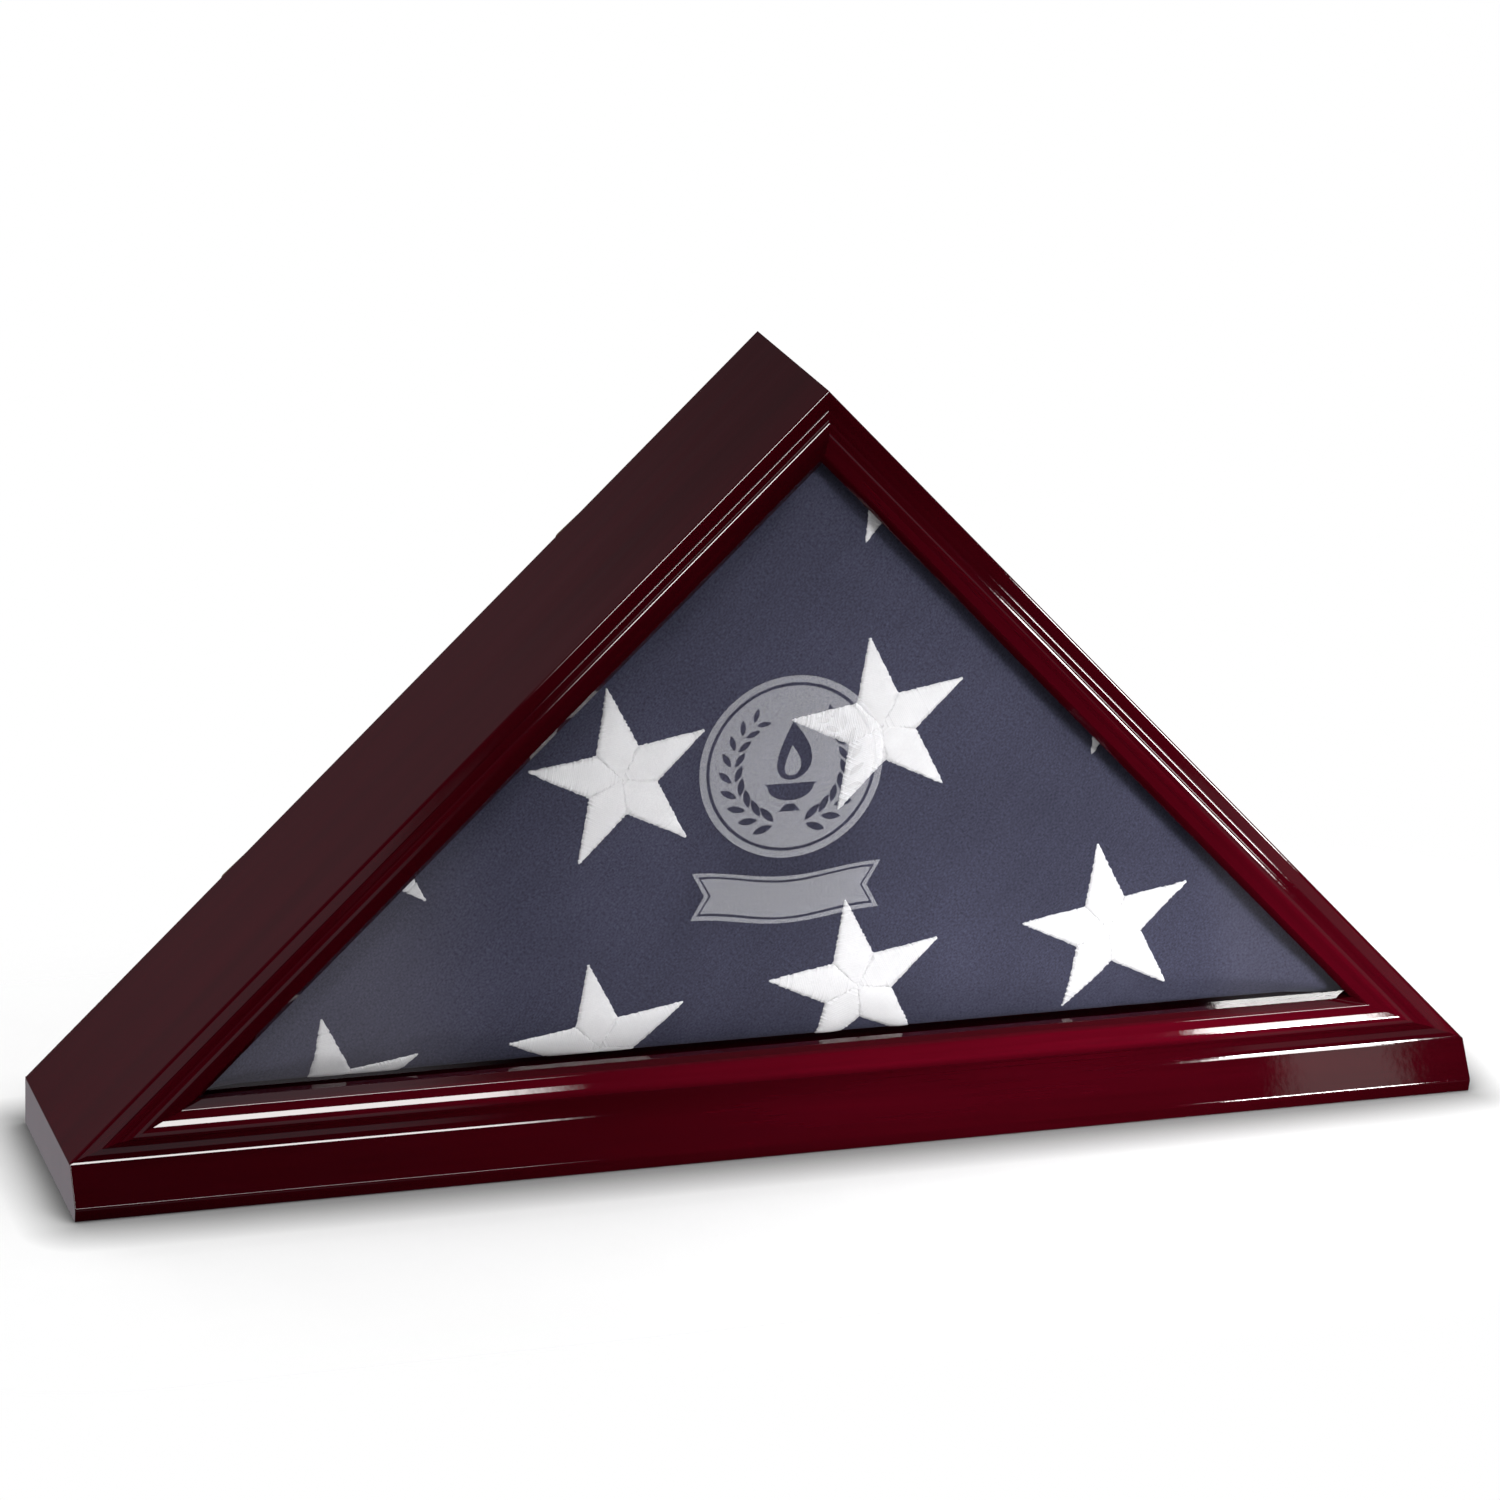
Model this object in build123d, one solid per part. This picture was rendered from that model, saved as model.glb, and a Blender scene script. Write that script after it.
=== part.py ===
from build123d import *
import os
from math import cos, radians, sin, sqrt

# Folded flag display case: a glazed triangular box on a plinth, with a removable back.
# Millimetres, +X to the viewer's right, +Y towards the back, +Z up.
# The origin is the centre of the plinth's underside.
# "Inset" is measured inwards from the triangle's outer edge, square to that side.
# "Depth" is measured backwards from the flat outer band of the front frame.

# Whole case
CASE_WIDTH = 650.0  # across the plinth, and across the triangle where it stands on the plinth
BOX_DEPTH = 97.0
ARRIS = 0.8  # rounding of the outer edges

# Plinth
PLINTH_HEIGHT = 22.0
PLINTH_PROJECTION = 12.3  # the nose, in front of the frame
TOE_HEIGHT = 6.0  # upright strip under the sloping fascia
TOE_SETBACK = 0.8
NOSE_ROUND = 1.6

# Box boards
BOARD_THICKNESS = 15.0
REBATE_WIDTH = 6.0  # rear rebate that the back panel drops into
REBATE_DEPTH = 6.2

# Front frame moulding
FRAME_EDGE = 5.0  # thickness at the outer edge
FRAME_WIDTH = 23.3
BAND_WIDTH = 5.9
BAND_ROUND = 1.2  # outer arris of the band on the two legs
FOOT_COVE_HEIGHT = 3.2  # hollow that carries the bottom band out to meet the plinth's fascia
FOOT_COVE_DEPTH = 1.0
STEP_HEIGHT = 1.0  # forward step between the outer band and the fillet
STEP_ROUND = 0.8
CREST_DEPTH = -3.3
SLOPE_FOOT_ROUND = 1.2
LIP_ROUND = 0.5

# Glass and the strips behind it
GLASS_FRONT = 8.0
GLASS_THICKNESS = 2.0
GLASS_CLEARANCE = 0.6
RETAINER_SIZE = 5.6
BRAD_RADIUS = 0.6
BRAD_HEAD_RADIUS = 1.0
BRAD_HEAD_HEIGHT = 0.5
BRAD_LENGTH = 14.0
BRAD_RISE = 2.5  # height of the brads above the glass
BRAD_SINK = 1.4
BRAD_SPACING = 130.0
BRADS_PER_RETAINER = 3

# Flag
FLAG_FRONT = 15.0
FLAG_THICKNESS = 68.0
FLAG_INSET = 17.0
FLAG_EDGE_ROUND = 9.0
FLAG_CORNER_ROUND = 12.0

# Back
PANEL_THICKNESS = 6.0
PANEL_CLEARANCE = 0.4
PANEL_EDGE_ROUND = 0.5
LINING_THICKNESS = 0.8
LINING_CLEARANCE = 1.0

# Turn buttons
BUTTON_THICKNESS = 1.5
BUTTON_GAP = 0.1  # running clearance over the wood
BUTTON_PIVOT_ROUND = 4.0
BUTTON_TIP_ROUND = 3.2
BUTTON_REACH = 22.0  # pivot to the centre of the tip's round
BUTTON_HOLE_RADIUS = 1.6
BUTTON_RIB_RADIUS = 1.3
BUTTON_EDGE_ROUND = 0.3
BUTTON_INSET = 4.4
LEG_BUTTON_OFFSET = 105.0
BOTTOM_BUTTON_OFFSET = 140.0

# Turn button screws
SCREW_RADIUS = 1.3
SCREW_LENGTH = 12.0  # in the wood
SCREW_POINT_HEIGHT = 2.5
SCREW_HEAD_RADIUS = 3.1
SCREW_HEAD_HEIGHT = 1.9
CROSS_WIDTH = 0.8
CROSS_LENGTH = 3.4
CROSS_DEPTH = 0.9

# Plinth screws
PLINTH_SCREW_RADIUS = 1.9
PLINTH_SCREW_HEAD_RADIUS = 3.7
PLINTH_SCREW_HEAD_HEIGHT = 2.4
PLINTH_SCREW_RECESS = 1.0
PLINTH_SCREW_TOP = 33.0
PLINTH_SCREW_X = 220.0
PLINTH_SCREW_DEPTHS = (28.0, 74.0)

# Splines across the three mitres of the box
SPLINE_WIDTH = 8.0
SPLINE_THICKNESS = 3.0
SPLINE_DEPTHS = (14.0, 84.0)

FIT = 0.02  # clearance round a piece that is driven or glued into another

# Worked out from the sizes above
FACE_Y = (PLINTH_PROJECTION - BOX_DEPTH) / 2
HALF_WIDTH = CASE_WIDTH / 2
INRADIUS = HALF_WIDTH * (sqrt(2) - 1)
CENTRE = Vector(0, 0, PLINTH_HEIGHT + INRADIUS)
REBATE_INSET = BOARD_THICKNESS - REBATE_WIDTH
REBATE_FLOOR = BOX_DEPTH - REBATE_DEPTH
GLASS_BACK = GLASS_FRONT + GLASS_THICKNESS
DEPTH_AXIS = Vector(0, 1, 0)


def corners(inset):
    """Left, top and right corners of the triangle at an inset, in the plane Y = 0."""
    base = PLINTH_HEIGHT + inset
    reach = HALF_WIDTH - inset * (1 + sqrt(2))
    return Vector(-reach, 0, base), Vector(0, 0, base + reach), Vector(reach, 0, base)


LEFT, TOP, RIGHT = corners(0)
SIDES = {"left": (LEFT, TOP), "right": (TOP, RIGHT), "bottom": (RIGHT, LEFT)}


def side_plane(side):
    """Plane across the middle of a side: X is the inset, Y the depth, Z runs along the side."""
    start, end = SIDES[side]
    along = (end - start).normalized()
    origin = (start + end) / 2 + DEPTH_AXIS * FACE_Y
    return Plane(origin=origin, x_dir=DEPTH_AXIS.cross(along), z_dir=along)


def prism(points, depth_from, depth_to):
    """Solid between two depths over an outline in the XZ plane."""
    outline = make_face(Polyline(*points, close=True))
    start = Pos(0, FACE_Y + depth_from, 0) * outline
    return extrude(start, amount=depth_to - depth_from, dir=DEPTH_AXIS)


def triangle(inset, depth_from, depth_to):
    return prism(corners(inset), depth_from, depth_to)


def mitred_bar(profile, side):
    """A straight bar along one side, cut off where it meets its neighbours at the mitres."""
    start, end = SIDES[side]
    bar = extrude(side_plane(side) * profile, amount=(end - start).length / 2, both=True)
    return bar & prism((start, end, CENTRE), -BOX_DEPTH, 2 * BOX_DEPTH)


def rounded(profile, point, radius):
    """The profile with the corner nearest to a point rounded off."""
    corner = profile.vertices().sort_by_distance(point)[0]
    return fillet(corner, radius)


def outline_face(*edges):
    return make_face(Curve() + list(edges))


# Box and plinth


def board_profile():
    return make_face(
        Polyline(
            (0, FRAME_EDGE),
            (BOARD_THICKNESS, FRAME_EDGE),
            (BOARD_THICKNESS, REBATE_FLOOR),
            (REBATE_INSET, REBATE_FLOOR),
            (REBATE_INSET, BOX_DEPTH),
            (0, BOX_DEPTH),
            close=True,
        )
    )


def board(side):
    profile = board_profile()
    if side != "bottom":
        profile = rounded(profile, (0, BOX_DEPTH), ARRIS)
    solid = mitred_bar(profile, side) - mitre_splines(FIT) - retainer_brads(FIT)
    solid -= turn_button_screws(FIT)
    return solid - plinth_screws(FIT) if side == "bottom" else solid


def base_plinth():
    """Solid board with a sloping fascia above an upright toe."""
    back = FACE_Y + BOX_DEPTH
    nose = FACE_Y - PLINTH_PROJECTION
    foot = (nose + TOE_SETBACK, 0)
    shoulder = (nose, TOE_HEIGHT)
    front_top = (FACE_Y - FOOT_COVE_DEPTH, PLINTH_HEIGHT)
    back_top = (back, PLINTH_HEIGHT)
    back_foot = (back, 0)
    profile = make_face(Polyline(back_foot, back_top, front_top, shoulder, foot, close=True))
    profile = rounded(profile, shoulder, NOSE_ROUND)
    for point in (foot, back_top, back_foot):
        profile = rounded(profile, point, ARRIS)
    plinth = extrude(Plane.YZ * profile, amount=HALF_WIDTH, both=True)
    ends = plinth.faces().sort_by(Axis.X)
    plinth = fillet(ends[0].edges() + ends[-1].edges(), ARRIS / 2)
    return plinth - plinth_screw_holes()


def mitre_spline(corner, across, allowance):
    """Key that crosses one mitre half way through the boards' thickness."""
    thickness = SPLINE_THICKNESS + 2 * allowance
    width = SPLINE_WIDTH + 2 * allowance
    length = SPLINE_DEPTHS[1] - SPLINE_DEPTHS[0] + 2 * allowance
    middle = FACE_Y + sum(SPLINE_DEPTHS) / 2
    plane = Plane(origin=corner + DEPTH_AXIS * middle, x_dir=across, z_dir=DEPTH_AXIS)
    return plane * Box(width, thickness, length)


def mitre_splines(allowance=0.0):
    half_corner = radians(22.5)
    left, top, right = corners(BOARD_THICKNESS / 2)
    left_across = Vector(-sin(half_corner), 0, cos(half_corner))
    right_across = Vector(sin(half_corner), 0, cos(half_corner))
    return [
        mitre_spline(left, left_across, allowance),
        mitre_spline(top, Vector(1, 0, 0), allowance),
        mitre_spline(right, right_across, allowance),
    ]


def plinth_screw_places():
    return [
        (x, FACE_Y + depth)
        for x in (-PLINTH_SCREW_X, 0, PLINTH_SCREW_X)
        for depth in PLINTH_SCREW_DEPTHS
    ]


def plinth_screw(allowance):
    """Countersunk screw, pointing up, with its head just inside the plinth."""
    radius = PLINTH_SCREW_RADIUS + allowance
    head_radius = PLINTH_SCREW_HEAD_RADIUS + allowance
    head_top = PLINTH_SCREW_RECESS + PLINTH_SCREW_HEAD_HEIGHT
    tip = PLINTH_SCREW_TOP + allowance
    half_outline = Polyline(
        (0, PLINTH_SCREW_RECESS),
        (head_radius, PLINTH_SCREW_RECESS),
        (radius, head_top),
        (radius, tip - SCREW_POINT_HEIGHT),
        (0, tip),
        close=True,
    )
    return revolve(Plane.XZ * make_face(half_outline), Axis.Z)


def plinth_screws(allowance=0.0):
    screw = plinth_screw(allowance)
    if allowance == 0:
        screw -= Pos(0, 0, PLINTH_SCREW_RECESS) * cross_recess()
    return [Pos(x, y, 0) * screw for x, y in plinth_screw_places()]


def plinth_screw_holes():
    mouth = Cylinder(PLINTH_SCREW_HEAD_RADIUS + FIT, 2 * PLINTH_SCREW_RECESS)
    return plinth_screws(FIT) + [Pos(x, y, 0) * mouth for x, y in plinth_screw_places()]


def cross_recess():
    """Cross slot for the driver, centred on the face of a screw head."""
    slot = Box(CROSS_LENGTH, CROSS_WIDTH, 2 * CROSS_DEPTH)
    return slot + Rot(0, 0, 90) * slot


# Front frame and glazing


def frame_profile(side):
    """Flat band, small step, ovolo with a rolled crest, bevel, long slope, chamfer and a square lip.

    The bottom band spreads at its foot, in a cove and a narrow bevel, to meet the plinth. The
    others have a rounded arris.
    """
    band_end = (BAND_WIDTH, 0)
    step_top = (BAND_WIDTH, -STEP_HEIGHT)
    ovolo_foot = (8.9, -1.25)
    crest_start = (11.1, CREST_DEPTH)
    crest_end = (12.65, CREST_DEPTH)
    bevel_top = (14.7, -2.7)
    slope_top = (16.6, -1.5)
    slope_foot = (20.2, 0.4)
    lip = (FRAME_WIDTH, 3.7)
    if side == "bottom":
        cove_top = (FOOT_COVE_HEIGHT, 0)
        cove_foot = (0.65, -0.58)
        outer_edge = [
            TangentArc(cove_top, cove_foot, tangent=(-1, 0)),
            Polyline(cove_foot, (0, -FOOT_COVE_DEPTH), (0, FRAME_EDGE)),
        ]
        band = Line(cove_top, band_end)
    else:
        outer_edge = [Line((0, 0), (0, FRAME_EDGE))]
        band = Line((0, 0), band_end)
    profile = outline_face(
        *outer_edge,
        band,
        Polyline(band_end, step_top, ovolo_foot),
        ThreePointArc(ovolo_foot, (9.55, -2.7), crest_start),
        Line(crest_start, crest_end),
        TangentArc(crest_end, bevel_top, tangent=(1, 0)),
        Polyline(bevel_top, slope_top, slope_foot, lip, (FRAME_WIDTH, GLASS_FRONT)),
        Polyline(
            (FRAME_WIDTH, GLASS_FRONT),
            (BOARD_THICKNESS, GLASS_FRONT),
            (BOARD_THICKNESS, FRAME_EDGE),
            (0, FRAME_EDGE),
        ),
    )
    profile = rounded(profile, step_top, STEP_ROUND)
    profile = rounded(profile, slope_foot, SLOPE_FOOT_ROUND)
    profile = rounded(profile, lip, LIP_ROUND)
    if side == "bottom":
        return profile
    return rounded(profile, (0, 0), BAND_ROUND)


def frame_moulding(side):
    return mitred_bar(frame_profile(side), side)


def glass_pane():
    return triangle(BOARD_THICKNESS + GLASS_CLEARANCE, GLASS_FRONT, GLASS_BACK)


def retainer(side):
    """Quarter-round strip that holds the glass against the lip of the frame."""
    inner = (BOARD_THICKNESS, GLASS_BACK)
    tip = (BOARD_THICKNESS + RETAINER_SIZE, GLASS_BACK)
    back = (BOARD_THICKNESS, GLASS_BACK + RETAINER_SIZE)
    profile = outline_face(
        Line(inner, tip),
        CenterArc(inner, RETAINER_SIZE, 0, 90),
        Line(back, inner),
    )
    return mitred_bar(profile, side) - retainer_brads(FIT)


def brad(allowance):
    """Small nail, pointing outwards, with its head sunk into the curve of the retainer."""
    top = (Align.CENTER, Align.CENTER, Align.MAX)
    shank = Cylinder(BRAD_RADIUS + allowance, BRAD_LENGTH + allowance, align=top)
    head = Cylinder(BRAD_HEAD_RADIUS + allowance, BRAD_HEAD_HEIGHT, align=top)
    head_inset = BOARD_THICKNESS + RETAINER_SIZE - BRAD_SINK
    return Pos(head_inset, GLASS_BACK + BRAD_RISE, 0) * Rot(0, 90, 0) * (shank + head)


def retainer_brads(allowance=0.0):
    middle = (BRADS_PER_RETAINER - 1) / 2
    return [
        side_plane(side) * Pos(0, 0, (number - middle) * BRAD_SPACING) * brad(allowance)
        for side in SIDES
        for number in range(BRADS_PER_RETAINER)
    ]


# Contents and back


def folded_flag():
    """The flag folded into a triangle: a plump prism with rounded folds."""
    bundle = triangle(FLAG_INSET, FLAG_FRONT, FLAG_FRONT + FLAG_THICKNESS)
    bundle = fillet(bundle.edges().filter_by(Axis.Y), FLAG_CORNER_ROUND)
    faces = bundle.faces().sort_by(Axis.Y)
    return fillet(faces[0].edges() + faces[-1].edges(), FLAG_EDGE_ROUND)


def back_panel():
    panel = triangle(REBATE_INSET + PANEL_CLEARANCE, REBATE_FLOOR, REBATE_FLOOR + PANEL_THICKNESS)
    rear = panel.faces().sort_by(Axis.Y)[-1]
    return fillet(rear.edges(), PANEL_EDGE_ROUND)


def panel_lining():
    """Felt glued to the inner face of the back panel."""
    return triangle(BOARD_THICKNESS + LINING_CLEARANCE, REBATE_FLOOR - LINING_THICKNESS, REBATE_FLOOR)


# Name, side, place along the side from its middle, and the way it parks along the side
TURN_BUTTONS = (
    ("turn_button_left_low", "left", -LEG_BUTTON_OFFSET, 1),
    ("turn_button_left_high", "left", LEG_BUTTON_OFFSET, 1),
    ("turn_button_right_high", "right", -LEG_BUTTON_OFFSET, -1),
    ("turn_button_right_low", "right", LEG_BUTTON_OFFSET, -1),
    ("turn_button_bottom_left", "bottom", BOTTOM_BUTTON_OFFSET, 1),
    ("turn_button_bottom_right", "bottom", -BOTTOM_BUTTON_OFFSET, -1),
)


def button_plane(side, offset, way):
    """Plane on the rear edge of a board: X points along the parked button, Z to the back."""
    mid = side_plane(side)
    rear = mid.x_dir * BUTTON_INSET + DEPTH_AXIS * BOX_DEPTH
    origin = mid.origin + rear + mid.z_dir * offset
    return Plane(origin=origin, x_dir=mid.z_dir * way, z_dir=DEPTH_AXIS)


def turn_button():
    """Flat latch, round at the pivot and narrower at the tip, with a pressed rib."""
    ends = Circle(BUTTON_PIVOT_ROUND) + Pos(BUTTON_REACH, 0) * Circle(BUTTON_TIP_ROUND)
    plate = extrude(make_hull(ends.edges()), amount=BUTTON_THICKNESS)
    plate = fillet(plate.faces().sort_by(Axis.Z)[-1].edges(), BUTTON_EDGE_ROUND)
    rib_start = SCREW_HEAD_RADIUS + 2 * BUTTON_RIB_RADIUS
    rib_end = BUTTON_REACH
    rib = Pos((rib_start + rib_end) / 2, 0, BUTTON_THICKNESS) * Rot(0, 90, 0)
    rib *= Cylinder(BUTTON_RIB_RADIUS, rib_end - rib_start)
    for end in (rib_start, rib_end):
        rib += Pos(end, 0, BUTTON_THICKNESS) * Sphere(BUTTON_RIB_RADIUS)
    button = plate + rib - Cylinder(BUTTON_HOLE_RADIUS, 4 * BUTTON_THICKNESS)
    return Pos(0, 0, BUTTON_GAP) * button


def turn_button_screw(allowance):
    """Domed wood screw that a turn button swings on."""
    seat = 2 * BUTTON_GAP + BUTTON_THICKNESS
    crown = seat + SCREW_HEAD_HEIGHT
    radius = SCREW_RADIUS + allowance
    tip = -SCREW_LENGTH - allowance
    shoulder = (radius, tip + SCREW_POINT_HEIGHT)
    shank = make_face(Polyline((0, seat), (radius, seat), shoulder, (0, tip), close=True))
    dome_mid = (SCREW_HEAD_RADIUS * 0.72, seat + SCREW_HEAD_HEIGHT * 0.7)
    dome = outline_face(
        Line((0, seat), (SCREW_HEAD_RADIUS, seat)),
        ThreePointArc((SCREW_HEAD_RADIUS, seat), dome_mid, (0, crown)),
        Line((0, crown), (0, seat)),
    )
    screw = revolve(Plane.XZ * (shank + dome), Axis.Z)
    return screw - Pos(0, 0, crown) * cross_recess() if allowance == 0 else screw


def turn_button_screws(allowance=0.0):
    screw = turn_button_screw(allowance)
    return [button_plane(side, offset, way) * screw for _, side, offset, way in TURN_BUTTONS]


def write(name, shape):
    """One STEP file per piece; a list becomes a group of separate solids."""
    if isinstance(shape, list):
        shape = Compound(children=[solid for item in shape for solid in item.solids()])
    export_step(shape, f"parts/{name}.step")


def main():
    os.makedirs("parts", exist_ok=True)
    write("base_plinth", base_plinth())
    write("left_side_board", board("left"))
    write("right_side_board", board("right"))
    write("bottom_board", board("bottom"))
    write("mitre_splines", mitre_splines())
    write("plinth_screws", plinth_screws())
    for side in SIDES:
        write(f"frame_{side}_moulding", frame_moulding(side))
        write(f"glass_retainer_{side}", retainer(side))
    write("glass_pane", glass_pane())
    write("retainer_brads", retainer_brads())
    write("folded_flag", folded_flag())
    write("back_panel", back_panel())
    write("panel_lining", panel_lining())
    button = turn_button()
    for name, side, offset, way in TURN_BUTTONS:
        write(name, button_plane(side, offset, way) * button)
    write("turn_button_screws", turn_button_screws())


main()
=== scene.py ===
"""Looks of the folded flag display case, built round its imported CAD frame.

Metres, +X to the viewer's right, +Y towards the back of the case, +Z up.
"""

import math
import random
from typing import NamedTuple

import bpy
import numpy as np
from mathutils import Euler, Matrix, Vector
from mathutils.bvhtree import BVHTree


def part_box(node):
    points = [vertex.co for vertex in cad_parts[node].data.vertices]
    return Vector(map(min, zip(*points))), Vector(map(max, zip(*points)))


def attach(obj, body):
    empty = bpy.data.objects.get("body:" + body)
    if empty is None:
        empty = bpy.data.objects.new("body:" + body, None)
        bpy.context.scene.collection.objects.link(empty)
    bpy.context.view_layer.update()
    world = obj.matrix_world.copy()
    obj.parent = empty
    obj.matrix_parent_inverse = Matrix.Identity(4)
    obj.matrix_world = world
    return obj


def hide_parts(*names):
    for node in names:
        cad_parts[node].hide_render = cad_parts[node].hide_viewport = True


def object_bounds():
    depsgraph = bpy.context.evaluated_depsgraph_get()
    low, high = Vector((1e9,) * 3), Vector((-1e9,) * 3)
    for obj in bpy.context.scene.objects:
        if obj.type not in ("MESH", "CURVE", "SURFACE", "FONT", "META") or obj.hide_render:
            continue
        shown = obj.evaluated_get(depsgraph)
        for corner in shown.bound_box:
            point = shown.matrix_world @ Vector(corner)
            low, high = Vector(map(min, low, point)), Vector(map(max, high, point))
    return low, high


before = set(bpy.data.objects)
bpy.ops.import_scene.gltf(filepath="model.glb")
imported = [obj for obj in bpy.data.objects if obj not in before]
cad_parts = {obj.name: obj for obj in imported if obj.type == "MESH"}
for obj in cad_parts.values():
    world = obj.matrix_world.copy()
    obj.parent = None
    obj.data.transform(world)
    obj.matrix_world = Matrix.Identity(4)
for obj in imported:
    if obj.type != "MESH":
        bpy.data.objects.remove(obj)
CAD_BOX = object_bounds()
CASE_HIGH = CAD_BOX[1]
ROOT = "case"
MM = 0.001

# The inner triangle of the case, taken from the felt lining, which fills it
INNER_LOW, INNER_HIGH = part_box("panel_lining")
FLAG_LOW, FLAG_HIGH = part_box("folded_flag")
GLASS_LOW, GLASS_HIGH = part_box("glass_pane")
PLINTH_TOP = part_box("base_plinth")[1].z
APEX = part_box("left_side_board")[1].z
DIAGONAL = 1 / math.sqrt(2)
INNER_SIDES = (  # inward normal in x and z, and its offset, for the bottom, right and left sides
    (0, 1, INNER_LOW.z),
    (-DIAGONAL, -DIAGONAL, -INNER_HIGH.z * DIAGONAL),
    (DIAGONAL, -DIAGONAL, -INNER_HIGH.z * DIAGONAL),
)

# Flag
FLAG_MARGIN = 1.8 * MM  # the bundle starts this far inside the inner triangle, then swells
FLAG_BOARD_GAP = 0.4 * MM  # and is pressed back to this far from the boards
FLAG_CORNER = 4 * MM
FLAG_FRONT_DEPTH = 8.4 * MM  # from the glass, before it swells
FLAG_RIM = 2 * MM
FLAG_VOXEL = 4 * MM
SWELL_PRESSURE = 4.0
SWELL_FRAMES = 18
SWELL_CAP = 2.4 * MM
FOLD_LAYERS = 9
FOLD_GROOVE = 1.8 * MM

# The strips that hold the glass stand in front of the rim of the flag
RETAINER_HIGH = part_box("glass_retainer_bottom")[1]
RETAINER_OPENING = RETAINER_HIGH.z - INNER_LOW.z + 0.5 * MM
RETAINER_STEP = 2.5 * MM
RETAINER_BACK = RETAINER_HIGH.y + 0.5 * MM
FLAG_GLASS_GAP = 2 * MM

# Embroidered stars, in rows that are turned with the folded cloth
STAR_RADIUS = 42.4 * MM
STAR_TURN = math.radians(10.3)
STAR_NOTCH = STAR_RADIUS * math.sin(math.radians(18)) / math.sin(math.radians(54))
ARM_WIDEST_AT = STAR_NOTCH * math.cos(math.radians(36))
ARM_HALF_WIDTH = STAR_NOTCH * math.sin(math.radians(36))
STAR_CENTRES = (  # x, and height above the table, in millimetres
    (-80.7, 172.6),
    (37.6, 188.6),
    (157.0, 205.0),
    (-197.0, 152.0),
    (-204.6, 31.0),
    (-85.2, 46.0),
    (32.5, 66.8),
    (151.2, 84.2),
    (44.6, 310.5),
)
THREAD_PITCH = 0.82 * MM
THREAD_RISE = 0.2 * MM
THREAD_BASE = 0.12 * MM  # the least that a thread stands over the cloth, in a wide arm
THREAD_TUCK = 0.4 * MM  # how far its underside sinks into the cloth
ARM_TAPER_WIDTH = 4 * MM  # narrower than this to each side, an arm flattens towards its point
STITCH_RISE = 0.75 * MM
SEAM_LIFT = 0.72  # how high the threads still stand where two arms meet, as a share
STAR_EDGE_CLEARANCE = RETAINER_OPENING - 0.4 * MM  # stitches stop where the strips begin

# Etched emblem on the glass: a medallion over a blank ribbon
EMBLEM_X = -6 * MM
MEDALLION_HEIGHT = 175.6 * MM
MEDALLION_RADIUS = 42 * MM
RIBBON_HEIGHT = 116 * MM
ETCH_THICKNESS = 0.1 * MM

# Painted shade on the mouldings, standing in for how the light falls on them, by distance in from the
# outer face
ONTO_SLOPE = (10.5 * MM, 14 * MM)
OFF_SLOPE = (19.5 * MM, 22 * MM)
BAND_PAINTED_SHADE = 0.55
LIP_PAINTED_SHADE = 0.5
SLOPE_PAINTED_SHADE = {"bottom": 1.0, "left": 0.42, "right": 0.85}
PAINTED_SHADE_EVEN_END = 120 * MM  # from the middle of the bottom, or up a leg, where the painted shade starts to darken
BOTTOM_END_PAINTED_SHADE = 0.62
APEX_PAINTED_SHADE = 0.55

# Floor
PAINTED_SHADOW_REACH = 60 * MM  # how far the painted contact shadow reaches round the case
PAINTED_SHADOW_WIDTH = 26 * MM  # from the case, where the darkest part of that painted shadow ends
# what the floor's colour is multiplied by at the foot of the case, in the painted shadow
PAINTED_SHADOW_DARKEST = 0.47
FLOOR_FADE = (40 * MM, 220 * MM)  # from the case, where the floor turns into white backdrop

# Camera
CAMERA_AZIMUTH = math.radians(19.060)
CAMERA_ELEVATION = math.radians(19.565)
CAMERA_ROLL = math.radians(2.566)
CAMERA_DISTANCE = 2.3548
CAMERA_LENS = 131.17
CAMERA_TARGET = Vector((-28.1 * MM, GLASS_LOW.y - 8 * MM, 187.7 * MM))

# Studio; a glow of 1 is the white of the backdrop
AMBIENT_GLOW = 0.36  # lights the case from all round, and is not mirrored
ROOM_GLOW = 0.004  # mirrored where nothing else is
FLOOR_GLOW = 0.36
WALL_GLOW = 0.09
WALL_BAND_GLOW = 0.035
WALL_BAND = (0.21, 0.26)
CEILING_GLOW = 0.072
CEILING_ANGLES = (1.15, 1.6)
BEVEL_ANGLES = (0.61, 0.765)  # mirrored by the bevels of the bottom moulding and plinth
FLOOR_ANGLES = (-0.46, -0.30)


class Patch(NamedTuple):
    """A patch of directions, bounded along the moulding that mirrors it and round it."""

    side: str
    span: tuple  # limits along the moulding, as a component of the direction
    span_edge: float  # how far it fades outside them
    angles: tuple  # limits round the moulding in radians, from straight ahead
    angle_edge: float
    glow: float


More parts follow.
